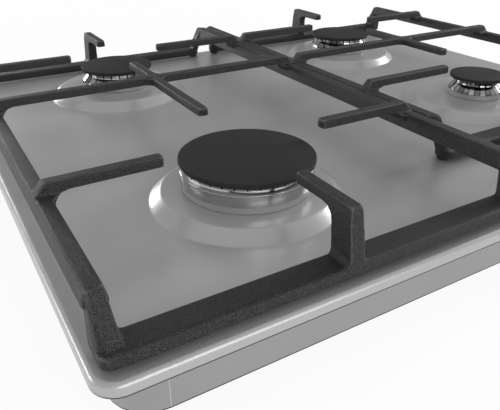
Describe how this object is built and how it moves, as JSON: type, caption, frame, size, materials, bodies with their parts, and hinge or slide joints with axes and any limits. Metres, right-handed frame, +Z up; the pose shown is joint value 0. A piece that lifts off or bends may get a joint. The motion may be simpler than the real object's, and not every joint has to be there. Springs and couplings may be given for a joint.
{
  "type": "gas cooktop",
  "caption": "Built-in gas cooktop: brushed steel plate on a shallow box, round burners in pressed seats, black cast pan supports, and control knobs at the front right.",
  "frame": {"origin": "middle of the cooktop in plan, on the underside of the box", "axes": "+X to the right, +Y to the rear, +Z up; the knobs are at the front right"},
  "size_m": [0.58, 0.5, 0.082],
  "materials": {
    "brushed_plate": "fine brushed, satin",
    "zinc_sheet": "plain zinc grey sheet, semi-matt",
    "cast_iron": "matt black enamelled casting with a fine grain",
    "enamel": "matt black enamel",
    "polished_aluminium": "bright turned",
    "cast_aluminium": "dull",
    "brass": "machined",
    "copper": "drawn copper",
    "ceramic": "glazed white ceramic",
    "rubber": "black",
    "black_plastic": "satin black",
    "white_plastic": "matt off-white"
  },
  "bodies": {
    "hob": {"top_plate": "brushed_plate", "bottom_box": "zinc_sheet", "sealing_gasket": "rubber", "gas_rail": "zinc_sheet", "rail_end_plug": "brass", "gas_inlet_elbow": "brass", "ignition_module": "white_plastic", "terminal_block": "white_plastic", "cable_gland": "black_plastic", "cup_front_left": "cast_aluminium", "injector_front_left": "brass", "spark_plug_front_left": "ceramic", "thermocouple_front_left": "copper", "gas_tube_front_left": "cast_aluminium", "valve_body_front_left": "brass", "stem_seal_front_left": "rubber", "cup_rear_left": "cast_aluminium", "injector_rear_left": "brass", "spark_plug_rear_left": "ceramic", "thermocouple_rear_left": "copper", "gas_tube_rear_left": "cast_aluminium", "valve_body_rear_left": "brass", "stem_seal_rear_left": "rubber", "cup_rear_right": "cast_aluminium", "injector_rear_right": "brass", "spark_plug_rear_right": "ceramic", "thermocouple_rear_right": "copper", "gas_tube_rear_right": "cast_aluminium", "valve_body_rear_right": "brass", "stem_seal_rear_right": "rubber", "cup_front_right": "cast_aluminium", "injector_front_right": "brass", "spark_plug_front_right": "ceramic", "thermocouple_front_right": "copper", "gas_tube_front_right": "cast_aluminium", "valve_body_front_right": "brass", "stem_seal_front_right": "rubber"},
    "crown_front_left": {"crown_front_left": "polished_aluminium"},
    "cap_front_left": {"cap_front_left": "enamel"},
    "tap_front_left": {"valve_plug_front_left": "brass"},
    "control_front_left": {"valve_stem_front_left": "zinc_sheet", "knob_front_left": "black_plastic"},
    "crown_rear_left": {"crown_rear_left": "polished_aluminium"},
    "cap_rear_left": {"cap_rear_left": "enamel"},
    "tap_rear_left": {"valve_plug_rear_left": "brass"},
    "control_rear_left": {"valve_stem_rear_left": "zinc_sheet", "knob_rear_left": "black_plastic"},
    "crown_rear_right": {"crown_rear_right": "polished_aluminium"},
    "cap_rear_right": {"cap_rear_right": "enamel"},
    "tap_rear_right": {"valve_plug_rear_right": "brass"},
    "control_rear_right": {"valve_stem_rear_right": "zinc_sheet", "knob_rear_right": "black_plastic"},
    "crown_front_right": {"crown_front_right": "polished_aluminium"},
    "cap_front_right": {"cap_front_right": "enamel"},
    "tap_front_right": {"valve_plug_front_right": "brass"},
    "control_front_right": {"valve_stem_front_right": "zinc_sheet", "knob_front_right": "black_plastic"},
    "support_left": {"pan_support_left": "cast_iron"},
    "support_right": {"pan_support_right": "cast_iron"}
  },
  "joints": [
    {"name": "crown_front_left_lift", "type": "slide", "parent": "hob", "child": "crown_front_left", "axis": [0, 0, 1], "range_m": [0, 0.06]},
    {"name": "cap_front_left_lift", "type": "slide", "parent": "crown_front_left", "child": "cap_front_left", "axis": [0, 0, 1], "range_m": [0, 0.04]},
    {"name": "knob_front_left_turn", "type": "hinge", "parent": "hob", "child": "tap_front_left", "pos_m": [0.072, -0.204, 0.02], "axis": [0, 0, 1], "range_deg": [0, 210]},
    {"name": "knob_front_left_push", "type": "slide", "parent": "tap_front_left", "child": "control_front_left", "axis": [0, 0, -1], "range_m": [0, 0.003], "stiffness_N_per_m": 500, "springref_m": -0.008},
    {"name": "crown_rear_left_lift", "type": "slide", "parent": "hob", "child": "crown_rear_left", "axis": [0, 0, 1], "range_m": [0, 0.06]},
    {"name": "cap_rear_left_lift", "type": "slide", "parent": "crown_rear_left", "child": "cap_rear_left", "axis": [0, 0, 1], "range_m": [0, 0.04]},
    {"name": "knob_rear_left_turn", "type": "hinge", "parent": "hob", "child": "tap_rear_left", "pos_m": [0.13, -0.204, 0.02], "axis": [0, 0, 1], "range_deg": [0, 210]},
    {"name": "knob_rear_left_push", "type": "slide", "parent": "tap_rear_left", "child": "control_rear_left", "axis": [0, 0, -1], "range_m": [0, 0.003], "stiffness_N_per_m": 500, "springref_m": -0.008},
    {"name": "crown_rear_right_lift", "type": "slide", "parent": "hob", "child": "crown_rear_right", "axis": [0, 0, 1], "range_m": [0, 0.06]},
    {"name": "cap_rear_right_lift", "type": "slide", "parent": "crown_rear_right", "child": "cap_rear_right", "axis": [0, 0, 1], "range_m": [0, 0.04]},
    {"name": "knob_rear_right_turn", "type": "hinge", "parent": "hob", "child": "tap_rear_right", "pos_m": [0.246, -0.204, 0.02], "axis": [0, 0, 1], "range_deg": [0, 210]},
    {"name": "knob_rear_right_push", "type": "slide", "parent": "tap_rear_right", "child": "control_rear_right", "axis": [0, 0, -1], "range_m": [0, 0.003], "stiffness_N_per_m": 500, "springref_m": -0.008},
    {"name": "crown_front_right_lift", "type": "slide", "parent": "hob", "child": "crown_front_right", "axis": [0, 0, 1], "range_m": [0, 0.06]},
    {"name": "cap_front_right_lift", "type": "slide", "parent": "crown_front_right", "child": "cap_front_right", "axis": [0, 0, 1], "range_m": [0, 0.04]},
    {"name": "knob_front_right_turn", "type": "hinge", "parent": "hob", "child": "tap_front_right", "pos_m": [0.188, -0.204, 0.02], "axis": [0, 0, 1], "range_deg": [0, 210]},
    {"name": "knob_front_right_push", "type": "slide", "parent": "tap_front_right", "child": "control_front_right", "axis": [0, 0, -1], "range_m": [0, 0.003], "stiffness_N_per_m": 500, "springref_m": -0.008},
    {"name": "pan_support_left_lift", "type": "slide", "parent": "hob", "child": "support_left", "axis": [0, 0, 1], "range_m": [0, 0.06]},
    {"name": "pan_support_right_lift", "type": "slide", "parent": "hob", "child": "support_right", "axis": [0, 0, 1], "range_m": [0, 0.06]}
  ]
}
